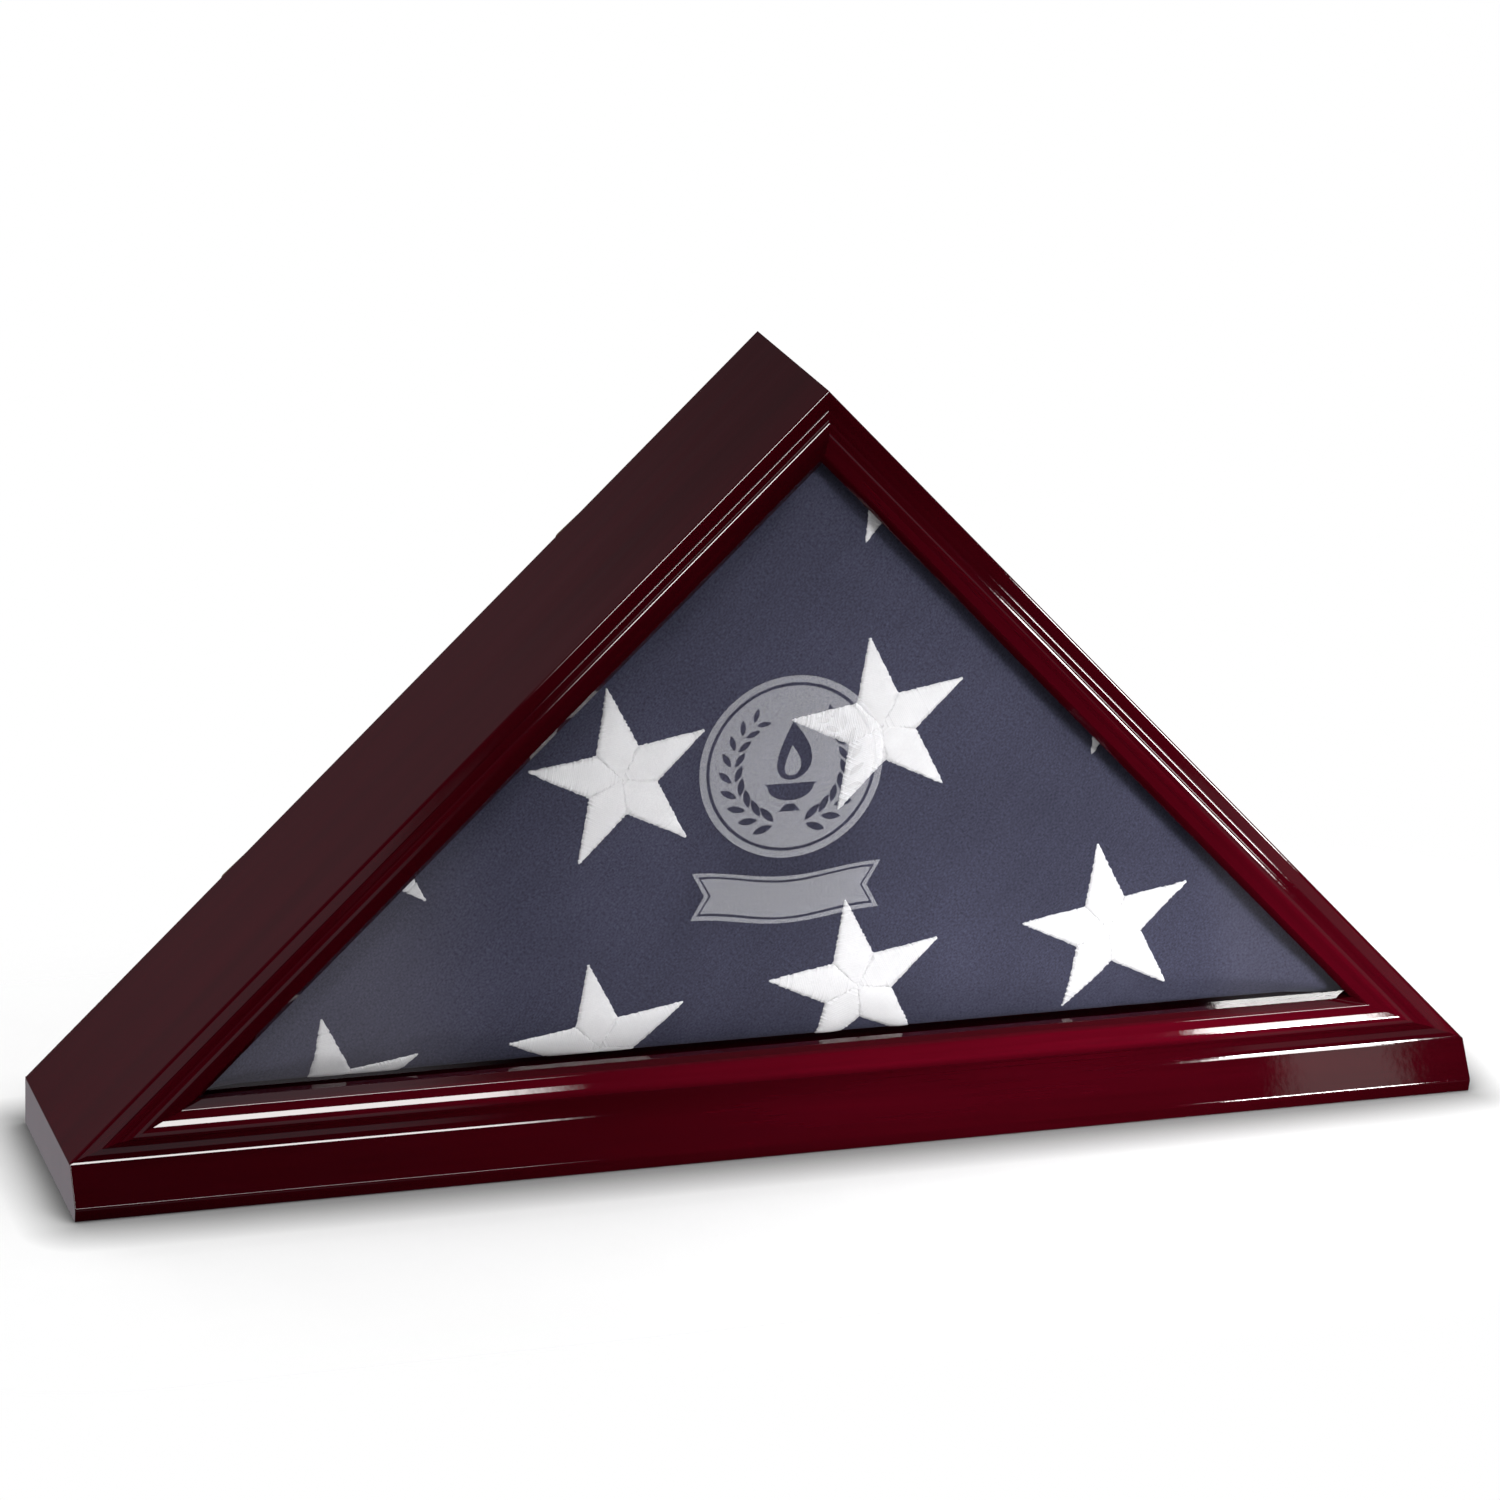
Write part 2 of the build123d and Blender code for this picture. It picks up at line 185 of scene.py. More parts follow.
LIT_CARDS = (
    Patch("bottom", (0.12, 0.255), 0.022, BEVEL_ANGLES, 0.010, 20.0),  # lines on the left half
    Patch("bottom", (0.383, 0.408), 0.006, BEVEL_ANGLES, 0.010, 26.0),  # lines at the right end
    Patch("bottom", (0.398, 0.410), 0.008, (0.80, 0.88), 0.08, 1.0),  # haze on the fascia
    Patch("bottom", (0.388, 0.412), 0.006, (0.34, 0.47), 0.02, 220.0),  # streak above the lip
    Patch("left", (-0.008, 0.1), 0.035, (0.95, 1.15), 0.04, 30.0),
    Patch("right", (-0.522, -0.472), 0.008, (0.70, 1.15), 0.04, 45.0),
)
ROOM_PATCHES = (
    Patch("bottom", (0.15, 0.235), 0.03, FLOOR_ANGLES, 0.06, 0.36),
    Patch("bottom", (0.39, 0.42), 0.01, FLOOR_ANGLES, 0.06, 0.252),
    Patch("bottom", (0.15, 0.235), 0.03, CEILING_ANGLES, 0.12, 0.6),
    Patch("bottom", (0.39, 0.42), 0.01, CEILING_ANGLES, 0.12, 0.42),
)


# Node helpers


def add(tree, kind, inputs=None, **settings):
    """A shader node; an input given as a socket is linked, anything else is its value."""
    node = tree.nodes.new("ShaderNode" + kind)
    for key, value in settings.items():
        setattr(node, key, value)
    for key, value in (inputs or {}).items():
        if isinstance(value, bpy.types.NodeSocket):
            tree.links.new(value, node.inputs[key])
        else:
            node.inputs[key].default_value = value
    return node


def math_node(tree, operation, first, second=0.0, clamp=False):
    return add(tree, "Math", {0: first, 1: second}, operation=operation, use_clamp=clamp).outputs[0]


def remap(tree, value, low, high, to_low=0.0, to_high=1.0, smooth=False):
    kind = "SMOOTHSTEP" if smooth else "LINEAR"
    inputs = {0: value, 1: low, 2: high, 3: to_low, 4: to_high}
    return add(tree, "MapRange", inputs, interpolation_type=kind).outputs[0]


def mix_colours(tree, share, first, second, blend="MIX"):
    node = add(tree, "Mix", {0: share, 6: first, 7: second}, data_type="RGBA", blend_type=blend)
    return node.outputs[2]


def grey(tree, value):
    return add(tree, "CombineColor", {0: value, 1: value, 2: value}).outputs[0]


def darken(tree, colour, value):
    """The colour times one value for all three channels."""
    return mix_colours(tree, 1.0, colour, grey(tree, value), "MULTIPLY")


def product(tree, *factors):
    value = factors[0]
    for factor in factors[1:]:
        value = math_node(tree, "MULTIPLY", value, factor)
    return value


def total(tree, *terms):
    value = terms[0]
    for term in terms[1:]:
        value = math_node(tree, "ADD", value, term)
    return value


def window(tree, value, limits, soft):
    """1 between two limits, fading to 0 over a soft edge outside them."""
    low, high = limits
    rise = remap(tree, value, low - soft, low, smooth=True)
    fall = remap(tree, value, high, high + soft, 1.0, 0.0, smooth=True)
    return math_node(tree, "MULTIPLY", rise, fall)


def noise(tree, vector, scale, detail=2.0, roughness=0.5, distortion=0.0):
    inputs = {
        "Vector": vector,
        "Scale": scale,
        "Detail": detail,
        "Roughness": roughness,
        "Distortion": distortion,
    }
    return add(tree, "TexNoise", inputs).outputs["Fac"]


def stretched(tree, vector, scale, turn=0.0):
    """Coordinates turned by an angle in the XZ plane, then scaled per axis."""
    turned = add(tree, "Mapping", {"Vector": vector, "Rotation": (0, turn, 0)}).outputs[0]
    return add(tree, "Mapping", {"Vector": turned, "Scale": scale}).outputs[0]


def object_coordinates(tree):
    return add(tree, "TexCoord").outputs["Object"]


def new_material(name):
    material = bpy.data.materials.new(name)
    material.use_nodes = True
    material.node_tree.nodes.clear()
    return material, material.node_tree


def surface(tree, shader):
    add(tree, "OutputMaterial", {"Surface": shader})


def bump(tree, height, distance, strength=1.0, normal=None):
    inputs = {"Height": height, "Distance": distance, "Strength": strength}
    if normal:
        inputs["Normal"] = normal
    return add(tree, "Bump", inputs).outputs[0]


# Materials


def edge_distance(tree, place, side):
    """Distance in from the outer face of a side board, or up from the plinth, in metres."""
    x, _, z = add(tree, "SeparateXYZ", {0: place}).outputs
    if side == "bottom":
        return math_node(tree, "SUBTRACT", z, PLINTH_TOP)
    fall = math_node(tree, "ADD", z, math_node(tree, "ABSOLUTE", x))
    return math_node(tree, "MULTIPLY", math_node(tree, "SUBTRACT", APEX, fall), DIAGONAL)


def painted_shade_over_moulding(tree, place, side):
    """Painted shade for how the light falls on the moulding: clearer on the slope, dark on the band
    and at the lip, darker towards the ends.
    """
    inset = edge_distance(tree, place, side)
    onto_slope = remap(tree, inset, *ONTO_SLOPE, BAND_PAINTED_SHADE, SLOPE_PAINTED_SHADE[side], smooth=True)
    off_slope = remap(tree, inset, *OFF_SLOPE, 1.0, LIP_PAINTED_SHADE, smooth=True)
    x, _, z = add(tree, "SeparateXYZ", {0: place}).outputs
    if side == "bottom":
        outwards = math_node(tree, "ABSOLUTE", x)
        painted_end_shade = remap(tree, outwards, PAINTED_SHADE_EVEN_END, CASE_HIGH.x, 1.0, BOTTOM_END_PAINTED_SHADE)
    else:
        painted_end_shade = remap(tree, z, PAINTED_SHADE_EVEN_END, APEX, 1.0, APEX_PAINTED_SHADE)
    return product(tree, onto_slope, off_slope, painted_end_shade)


def lacquered_wood(name, side):
    """Burgundy stain over faint straight grain, with painted shade for how the light falls on each
    part, under a thick gloss coat with some orange peel.
    """
    material, tree = new_material(name)
    place = object_coordinates(tree)
    grain_turn = {"bottom": 0.0, "left": math.radians(45), "right": math.radians(-45)}[side]
    figure = noise(tree, stretched(tree, place, (2.2, 30, 30), grain_turn), 1.0, 4, 0.55, 0.6)
    fibre = noise(tree, stretched(tree, place, (18, 520, 520), grain_turn), 1.0, 3, 0.6)
    cloud = noise(tree, place, 7.0, 2)
    depth = remap(tree, figure, 0.3, 0.72)
    colour = mix_colours(tree, depth, (0.054, 0.0008, 0.0040, 1), (0.080, 0.0010, 0.0062, 1))
    colour = darken(tree, colour, remap(tree, fibre, 0.35, 0.7, 0.93, 1.06))
    colour = darken(tree, colour, remap(tree, cloud, 0.3, 0.7, 0.93, 1.06))
    # painted shade: darker where less light falls on the moulding, set per side
    colour = darken(tree, colour, painted_shade_over_moulding(tree, place, side))
    peel = noise(tree, place, 260, 2)
    sag = noise(tree, stretched(tree, place, (9, 60, 60), grain_turn), 1.0, 2)
    coat_normal = bump(tree, sag, 0.25 * MM, 0.35, bump(tree, peel, 0.012 * MM, 0.35))
    smear = remap(tree, noise(tree, place, 22, 3), 0.35, 0.75, 0.012, 0.032)
    shader = add(
        tree,
        "BsdfPrincipled",
        {
            "Base Color": colour,
            "Roughness": 0.42,
            "Specular IOR Level": 0.0,
            "Coat Weight": 1.0,
            "Coat Roughness": smear,
            "Coat IOR": 1.5,
            "Coat Normal": coat_normal,
            "Normal": bump(tree, fibre, 0.02 * MM, 0.3),
        },
    )
    surface(tree, shader.outputs[0])
    return material


def bare_wood(name):
    """Sanded pale hardwood, for the keys across the mitres."""
    material, tree = new_material(name)
    place = object_coordinates(tree)
    figure = noise(tree, stretched(tree, place, (6, 90, 90)), 1.0, 4, 0.6, 0.5)
    fibre = noise(tree, stretched(tree, place, (40, 1500, 1500)), 1.0, 2)
    depth = remap(tree, figure, 0.3, 0.7)
    colour = mix_colours(tree, depth, (0.42, 0.25, 0.12, 1), (0.62, 0.42, 0.23, 1))
    colour = darken(tree, colour, remap(tree, fibre, 0.3, 0.7, 0.8, 1.1))
    inputs = {"Base Color": colour, "Roughness": 0.62, "Normal": bump(tree, fibre, 0.08 * MM, 0.6)}
    surface(tree, add(tree, "BsdfPrincipled", inputs).outputs[0])
    return material


def painted_board(name):
    """Black-brown satin paint rolled over fibreboard."""
    material, tree = new_material(name)
    place = object_coordinates(tree)
    roller = noise(tree, place, 700, 3)
    cloud = noise(tree, place, 14, 3)
    scuff = noise(tree, stretched(tree, place, (30, 30, 260), 0.4), 1.0, 2)
    depth = remap(tree, cloud, 0.3, 0.7)
    colour = mix_colours(tree, depth, (0.016, 0.010, 0.010, 1), (0.030, 0.019, 0.018, 1))
    colour = mix_colours(tree, remap(tree, scuff, 0.66, 0.8, 0, 0.35), colour, (0.08, 0.06, 0.055, 1))
    inputs = {
        "Base Color": colour,
        "Roughness": remap(tree, cloud, 0.3, 0.7, 0.42, 0.58),
        "Normal": bump(tree, roller, 0.05 * MM, 0.5),
    }
    surface(tree, add(tree, "BsdfPrincipled", inputs).outputs[0])
    return material


def felt(name):
    material, tree = new_material(name)
    place = object_coordinates(tree)
    fuzz = noise(tree, place, 1800, 4, 0.7)
    clumps = noise(tree, place, 160, 3)
    depth = remap(tree, clumps, 0.3, 0.7)
    colour = mix_colours(tree, depth, (0.008, 0.008, 0.011, 1), (0.022, 0.021, 0.027, 1))
    inputs = {
        "Base Color": colour,
        "Roughness": 0.95,
        "Sheen Weight": 0.4,
        "Sheen Roughness": 0.5,
        "Normal": bump(tree, fuzz, 0.3 * MM, 0.8),
    }
    surface(tree, add(tree, "BsdfPrincipled", inputs).outputs[0])
    return material


def plated_metal(name, colour, roughness):
    """Satin plating with fine scratches, and a darker film where it is handled less."""
    material, tree = new_material(name)
    place = object_coordinates(tree)
    scratches = noise(tree, stretched(tree, place, (400, 400, 6000), 0.7), 1.0, 2)
    film = noise(tree, place, 190, 3)
    dull = tuple(channel * 0.72 for channel in colour[:3]) + (1,)
    tint = mix_colours(tree, remap(tree, film, 0.4, 0.72), colour, dull)
    inputs = {
        "Base Color": tint,
        "Metallic": 1.0,
        "Roughness": remap(tree, film, 0.3, 0.7, roughness * 0.8, roughness * 1.35),
        "Normal": bump(tree, scratches, 0.01 * MM, 0.5),
    }
    surface(tree, add(tree, "BsdfPrincipled", inputs).outputs[0])
    return material


def clear_glass(name):
    """Thin float glass: it lets light straight through and mirrors a little at each front face."""
    material, tree = new_material(name)
    place = object_coordinates(tree)
    ripple = noise(tree, place, 3.0, 1)
    smear = remap(tree, noise(tree, place, 9.0, 4), 0.45, 0.8, 0.0, 0.035)
    fresnel = add(tree, "Fresnel", {"IOR": 1.5}).outputs[0]
    both_faces = math_node(tree, "MULTIPLY", fresnel, 1.7, clamp=True)
    facing = add(tree, "NewGeometry").outputs["Backfacing"]
    share = math_node(tree, "MULTIPLY", both_faces, math_node(tree, "SUBTRACT", 1.0, facing))
    clear = add(tree, "BsdfTransparent", {"Color": (0.985, 0.985, 0.985, 1)}).outputs[0]
    wavy = bump(tree, ripple, 0.4 * MM, 0.05)
    mirror_inputs = {"Color": (1, 1, 1, 1), "Roughness": smear, "Normal": wavy}
    mirror = add(tree, "BsdfGlossy", mirror_inputs).outputs[0]
    surface(tree, add(tree, "MixShader", {0: share, 1: clear, 2: mirror}).outputs[0])
    return material


def etched_glass(name):
    """Sandblasted frost: a speckled white bloom over whatever lies behind."""
    material, tree = new_material(name)
    place = object_coordinates(tree)
    coarse = noise(tree, place, 900, 2, 0.7)
    fine = noise(tree, place, 2600, 1)
    grain = total(tree, product(tree, coarse, 0.6), product(tree, fine, 0.4))
    bloom = remap(tree, grain, 0.38, 0.62, 0.14, 0.27)
    facing = add(tree, "NewGeometry").outputs["Backfacing"]
    share = math_node(tree, "MULTIPLY", bloom, math_node(tree, "SUBTRACT", 1.0, facing))
    clear = add(tree, "BsdfTransparent").outputs[0]
    frost = add(tree, "BsdfDiffuse", {"Color": (0.88, 0.88, 0.92, 1)}).outputs[0]
    surface(tree, add(tree, "MixShader", {0: share, 1: clear, 2: frost}).outputs[0])
    return material


def flag_cloth(name):
    """Navy cotton: a fine crossed weave, faint slubs, and slow drifts of shade."""
    material, tree = new_material(name)
    place = object_coordinates(tree)
    warp_turn = math.radians(50)
    warp = noise(tree, stretched(tree, place, (700, 1, 1700), warp_turn), 1.0, 2, 0.6)
    weft = noise(tree, stretched(tree, place, (1700, 1, 700), warp_turn), 1.0, 2, 0.6)
    weave = total(tree, product(tree, warp, 0.6), product(tree, weft, 0.4))
    drift = noise(tree, place, 11.0, 3)
    slub = noise(tree, stretched(tree, place, (30, 1, 300), warp_turn), 1.0, 2)
    shade = remap(tree, weave, 0.36, 0.64)
    colour = mix_colours(tree, shade, (0.026, 0.026, 0.044, 1), (0.068, 0.069, 0.110, 1))
    colour = darken(tree, colour, remap(tree, drift, 0.3, 0.7, 0.83, 1.19))
    colour = darken(tree, colour, remap(tree, slub, 0.3, 0.7, 0.95, 1.05))
    inputs = {
        "Base Color": colour,
        "Roughness": 0.82,
        "Specular IOR Level": 0.25,
        "Sheen Weight": 0.15,
        "Sheen Roughness": 0.4,
        "Sheen Tint": (0.6, 0.65, 0.8, 1),
        "Normal": bump(tree, weave, 0.16 * MM, 0.6),
    }
    surface(tree, add(tree, "BsdfPrincipled", inputs).outputs[0])
    return material


def star_thread(name):
    """White satin stitch; the ridges are in the mesh, and this adds the twist of the yarn."""
    material, tree = new_material(name)
    place = object_coordinates(tree)
    yarn = noise(tree, place, 2400, 2, 0.6)
    soft = noise(tree, place, 90, 3)
    depth = remap(tree, yarn, 0.3, 0.7)
    colour = mix_colours(tree, depth, (0.74, 0.735, 0.755, 1), (0.88, 0.875, 0.89, 1))
    colour = darken(tree, colour, remap(tree, soft, 0.3, 0.7, 0.95, 1.02))
    inputs = {
        "Base Color": colour,
        "Roughness": 0.6,
        "Sheen Weight": 0.25,
        "Normal": bump(tree, yarn, 0.08 * MM, 0.5),
    }
    surface(tree, add(tree, "BsdfPrincipled", inputs).outputs[0])
    return material


# Mesh helpers


def mesh_object(name, vertices, faces, material, smooth=True):
    mesh = bpy.data.meshes.new(name)
    mesh.from_pydata(vertices, [], faces)
    mesh.validate()
    mesh.polygons.foreach_set("use_smooth", [smooth] * len(mesh.polygons))
    mesh.materials.append(material)
    obj = bpy.data.objects.new(name, mesh)
    bpy.context.scene.collection.objects.link(obj)
    return obj


def ring_faces(rings, count, first=0):
    """Faces that skin a stack of closed rings of points, and cap both ends."""
    faces = []
    for ring in range(rings - 1):
        lower = first + ring * count
        upper = lower + count
        for step in range(count):
            following = (step + 1) % count
            faces.append((lower + step, lower + following, upper + following, upper + step))
    faces.append(tuple(range(first + count - 1, first - 1, -1)))
    last = first + (rings - 1) * count
    faces.append(tuple(range(last, last + count)))
    return faces


def vertex_array(mesh):
    points = np.empty(len(mesh.vertices) * 3, np.float32)
    mesh.vertices.foreach_get("co", points)
    return points.reshape(-1, 3).astype(float)


def normal_array(mesh):
    normals = np.empty(len(mesh.vertices) * 3, np.float32)
    mesh.vertex_normals.foreach_get("vector", normals)
    return normals.reshape(-1, 3).astype(float)


def set_vertices(mesh, points):
    mesh.vertices.foreach_set("co", points.astype(np.float32).ravel())
    mesh.update()


def inner_inset(x, z):
    """Distance inside the inner triangle: positive within, measured to the nearest side."""
    below = z - INNER_LOW.z
    slope = (INNER_HIGH.z - z - np.abs(x)) * DIAGONAL
    return np.minimum(below, slope)


def inner_corners(inset):
    """Right, top and left corners of the inner triangle at an inset."""
    base = INNER_LOW.z + inset
    reach = INNER_HIGH.x - inset * (1 + math.sqrt(2))
    return (Vector((reach, base)), Vector((0, base + reach)), Vector((-reach, base)))


def rounded_outline(inset, radius, steps=8):
    """Outline of the inner triangle at an inset, with its corners rounded, as (x, z) points."""
    points = []
    centres = inner_corners(inset + radius)
    starts = (-90, 45, 135)
    sweeps = (135, 90, 135)
    for centre, start, sweep in zip(centres, starts, sweeps):
        for step in range(steps + 1):
            angle = math.radians(start + sweep * step / steps)
            points.append((centre.x + radius * math.cos(angle), centre.y + radius * math.sin(angle)))
    return points


# The flag


def flag_bundle():
    """The folded bundle before it swells: a prism whose front and back edges are rounded."""
    front = GLASS_HIGH.y + FLAG_FRONT_DEPTH
    back = FLAG_HIGH.y - SWELL_CAP
    profile = []
    rim_steps = 6
    for step in range(rim_steps + 1):
        angle = math.radians(90 * step / rim_steps)
        profile.append((front + FLAG_RIM * (1 - math.sin(angle)), FLAG_RIM * (1 - math.cos(angle))))
    front_half = sorted(profile)
    profile = front_half + [(front + back - y, inset) for y, inset in reversed(front_half)]
    vertices = []
    for y, inset in profile:
        outline = rounded_outline(FLAG_MARGIN + inset, FLAG_CORNER)
        vertices += [(x, y, z) for x, z in outline]
    return vertices, ring_faces(len(profile), len(outline))


def apply_modifiers(obj):
    graph = bpy.context.evaluated_depsgraph_get()
    mesh = bpy.data.meshes.new_from_object(obj.evaluated_get(graph))
    obj.modifiers.clear()
    obj.data = mesh


def remesh(obj, voxel):
    modifier = obj.modifiers.new("remesh", "REMESH")
    modifier.mode = "VOXEL"
    modifier.voxel_size = voxel
    modifier.use_smooth_shade = True
    apply_modifiers(obj)


def swell(obj, pressure, frames, cap):
    """Inflates the mesh as cloth, and keeps each point within a cap of where it started."""
    start = vertex_array(obj.data)
    modifier = obj.modifiers.new("swell", "CLOTH")
    settings = modifier.settings
    settings.quality = 5
    settings.mass = 0.3
    settings.tension_stiffness = 15
    settings.compression_stiffness = 15
    settings.bending_stiffness = 0.5
    settings.use_pressure = True
    settings.uniform_pressure_force = pressure
    settings.effector_weights.gravity = 0
    modifier.point_cache.frame_start = 1
    modifier.point_cache.frame_end = frames
    scene = bpy.context.scene
    for number in range(1, frames + 1):
        scene.frame_set(number)
    graph = bpy.context.evaluated_depsgraph_get()
    moved = vertex_array(obj.evaluated_get(graph).to_mesh())
    obj.modifiers.clear()
    scene.frame_set(1)
    travel = moved - start
    length = np.linalg.norm(travel, axis=1, keepdims=True)
    travel *= np.minimum(1, cap / np.maximum(length, 1e-9))
    set_vertices(obj.data, start + travel)


def subdivide(obj):
    modifier = obj.modifiers.new("smooth", "SUBSURF")
    modifier.levels = 1
    modifier.render_levels = 1
    apply_modifiers(obj)


def fold_grooves(points, normals):
    """Inward travel that cuts the stacked folds into the edges of the bundle."""
    depth = (points[:, 1] - FLAG_LOW.y) / (FLAG_HIGH.y - FLAG_LOW.y)
    phase = np.mod(depth * FOLD_LAYERS, 1) * 2 - 1
    groove = 1 - np.sqrt(np.clip(1 - phase**2, 0, 1))
    sideways = 1 - np.abs(normals[:, 1])
    return FOLD_GROOVE * groove * np.clip(sideways * 2 - 0.8, 0, 1)


def soft_wrinkles(x, z):
    """Forward lift of the front layer: faint pull lines, stronger towards the right corner."""
    across = (x + z) * DIAGONAL
    along = (x - z) * DIAGONAL
    pulls = np.sin(across * 150 + 1.6 * np.sin(along * 26)) * np.sin(along * 31 + 0.7)
    ripples = np.sin(across * 340 + 2.3 * np.sin(along * 47 + 1.1)) * np.sin(along * 63)
    bias = np.clip((x - 0.02) / 0.2, 0.12, 1)
    hills = np.sin(x * 21 + 0.4) * np.sin(z * 26 + 0.9)
    return (0.6 * pulls + 0.15 * ripples) * bias * MM + 0.6 * hills * MM


def shape_flag(obj):
    """Cuts the fold grooves, adds soft wrinkles and keeps the cloth clear of the glass."""
    points = vertex_array(obj.data)
    normals = normal_array(obj.data)
    points -= normals * fold_grooves(points, normals)[:, None]
    facing = np.clip(-normals[:, 1], 0, 1) ** 2
    points[:, 1] -= soft_wrinkles(points[:, 0], points[:, 2]) * facing
    inset = inner_inset(points[:, 0], points[:, 2])
    opening = np.clip((inset - RETAINER_OPENING) / RETAINER_STEP, 0, 1)
    nearest = RETAINER_BACK - (RETAINER_BACK - GLASS_HIGH.y - FLAG_GLASS_GAP) * opening
    points[:, 1] = np.maximum(points[:, 1], nearest)
    for normal_x, normal_z, offset in INNER_SIDES:
        inside = points[:, 0] * normal_x + points[:, 2] * normal_z - offset
        push = np.maximum(FLAG_BOARD_GAP - inside, 0)
        points[:, 0] += push * normal_x
        points[:, 2] += push * normal_z
    set_vertices(obj.data, points)


def build_flag(material):
    vertices, faces = flag_bundle()
    flag = mesh_object("folded_flag_cloth", vertices, faces, material)
    remesh(flag, FLAG_VOXEL)
    swell(flag, SWELL_PRESSURE, SWELL_FRAMES, SWELL_CAP)
    subdivide(flag)
    shape_flag(flag)
    flag.data.polygons.foreach_set("use_smooth", [True] * len(flag.data.polygons))
    flag.data.materials.clear()
    flag.data.materials.append(material)
    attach(flag, ROOT)
    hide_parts("folded_flag")
    return flag


# The stars


def arm_half_width(along):
    """Half the width of a star's arm at a distance from the centre."""
    if along < ARM_WIDEST_AT:
        return ARM_HALF_WIDTH * along / ARM_WIDEST_AT
    return ARM_HALF_WIDTH * (STAR_RADIUS - along) / (STAR_RADIUS - ARM_WIDEST_AT)


def clip_to_case(start, end):
    """The share of a thread, from 0 to 1 at each end, that lies inside the inner triangle."""
    low, high = 0.0, 1.0
    for normal_x, normal_z, offset in INNER_SIDES:
        first = normal_x * start.x + normal_z * start.y - offset - STAR_EDGE_CLEARANCE
        second = normal_x * end.x + normal_z * end.y - offset - STAR_EDGE_CLEARANCE
        if first < 0 and second < 0:
            return None
        crossing = first / (first - second) if first != second else 0.0
        if first < 0:
            low = max(low, crossing)
        if second < 0:
            high = min(high, crossing)
    return (low, high) if high - low > 0.02 else None


def thread_row(centre, heading, along, half_width, rise, edge, surface_depth):
    """One closed loop of points across an arm: domed over the cloth, and tucked just under it.

    The edge is how high the thread's ends stand, as a share of its middle.
    """
    columns = 9
    axis = Vector((math.cos(heading), math.sin(heading)))
    side = Vector((-axis.y, axis.x))
    start = centre + axis * along - side * half_width
    end = centre + axis * along + side * half_width
    kept = clip_to_case(start, end)
    if kept is None:
        return None
    loop = []
    for column in range(columns):
        share = kept[0] + (kept[1] - kept[0]) * column / (columns - 1)
        place = start.lerp(end, share)
        dome = edge + (1 - edge) * math.sqrt(max(0.0, 1 - (2 * share - 1) ** 2))
        height = (THREAD_BASE + rise * dome) * min(1, half_width / ARM_TAPER_WIDTH) ** 0.4
        loop.append((place.x, surface_depth(place.x, place.y) - height, place.y))
    for share in (kept[1], kept[0]):
        place = start.lerp(end, share)
        loop.append((place.x, surface_depth(place.x, place.y) + THREAD_TUCK, place.y))
    return loop


def star_arm(centre, heading, dice, surface_depth, vertices, faces):
    """One arm of satin stitch: each thread is three rows, low, high and low."""
    rows = []
    threads = int(STAR_RADIUS / THREAD_PITCH)
    for thread in range(threads):
        overshoot = dice.uniform(-0.15, 0.55) * MM
        lift = dice.uniform(0.75, 1.15)
        for step in range(3):
            along = (thread + 0.04 + 0.46 * step) * THREAD_PITCH
            spill = overshoot if step == 1 else overshoot * 0.6
            width = max(arm_half_width(along), 0.15 * MM) + spill
            ridge = THREAD_RISE * lift if step == 1 else 0.0
            edge = SEAM_LIFT * min(1, max(0, 3 * (1 - along / ARM_WIDEST_AT)))
            row = thread_row(centre, heading, along, width, STITCH_RISE + ridge, edge, surface_depth)
            if row:
                rows.append(row)
    if len(rows) < 2:
        return
    faces += ring_faces(len(rows), len(rows[0]), first=len(vertices))
    for row in rows:
        vertices.extend(row)


def build_stars(flag, material):
    """Raised stars that follow the front of the flag."""
    tree = BVHTree.FromPolygons(
        [vertex.co for vertex in flag.data.vertices],
        [polygon.vertices for polygon in flag.data.polygons],
    )
    forward = Vector((0, 1, 0))

    def surface_depth(x, z):
        hit = tree.ray_cast(Vector((x, GLASS_HIGH.y, z)), forward)[0]
        return hit.y if hit else GLASS_HIGH.y + FLAG_FRONT_DEPTH

    dice = random.Random(11)
    vertices, faces = [], []
    for x, height in STAR_CENTRES:
        centre = Vector((x * MM, height * MM))
        for arm in range(5):
            heading = STAR_TURN + math.radians(90 + 72 * arm)
            star_arm(centre, heading, dice, surface_depth, vertices, faces)
    stars = mesh_object("embroidered_stars", vertices, faces, material)
    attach(stars, ROOT)
    return stars


# The etched emblem


def circle(x, z, radius, steps=96):
    turn = 2 * math.pi / steps
    return [(x + radius * math.cos(turn * n), z + radius * math.sin(turn * n)) for n in range(steps)]


def leaf(x, z, heading, length, width, steps=10):
    """A pointed oval that starts at a point and runs along a heading."""
    points = []
    for side in (1, -1):
        for step in range(steps):
            share = step / steps if side == 1 else 1 - step / steps
            spread = side * width / 2 * math.sin(math.pi * share) ** 0.8
            ahead = length * share
            points.append(
                (
                    x + ahead * math.cos(heading) - spread * math.sin(heading),
                    z + ahead * math.sin(heading) + spread * math.cos(heading),
                )
            )
    return points


def laurel_branch(mirror):
    """Leaves in pairs along an arc that rises from the foot of the medallion."""
    outlines = []
    pairs = 9
    foot_angle = -74  # in degrees, like the spacing
    pair_spacing = 15.5
    arc_radius = MEDALLION_RADIUS * 0.64
    for number in range(pairs):
        angle = math.radians(foot_angle + pair_spacing * number)
        x, z = arc_radius * math.cos(angle), arc_radius * math.sin(angle)
        size = (9.5 - 0.35 * number) * MM
        for lean, step_out in ((0.62, 0.9 * MM), (-0.55, -0.9 * MM)):
            heading = angle + math.pi / 2 - lean
            root_x = x + step_out * math.cos(angle)
            root_z = z + step_out * math.sin(angle)
            outlines.append(leaf(root_x, root_z, heading, size, size * 0.36))
    return [[(mirror * x, z) for x, z in outline] for outline in outlines]


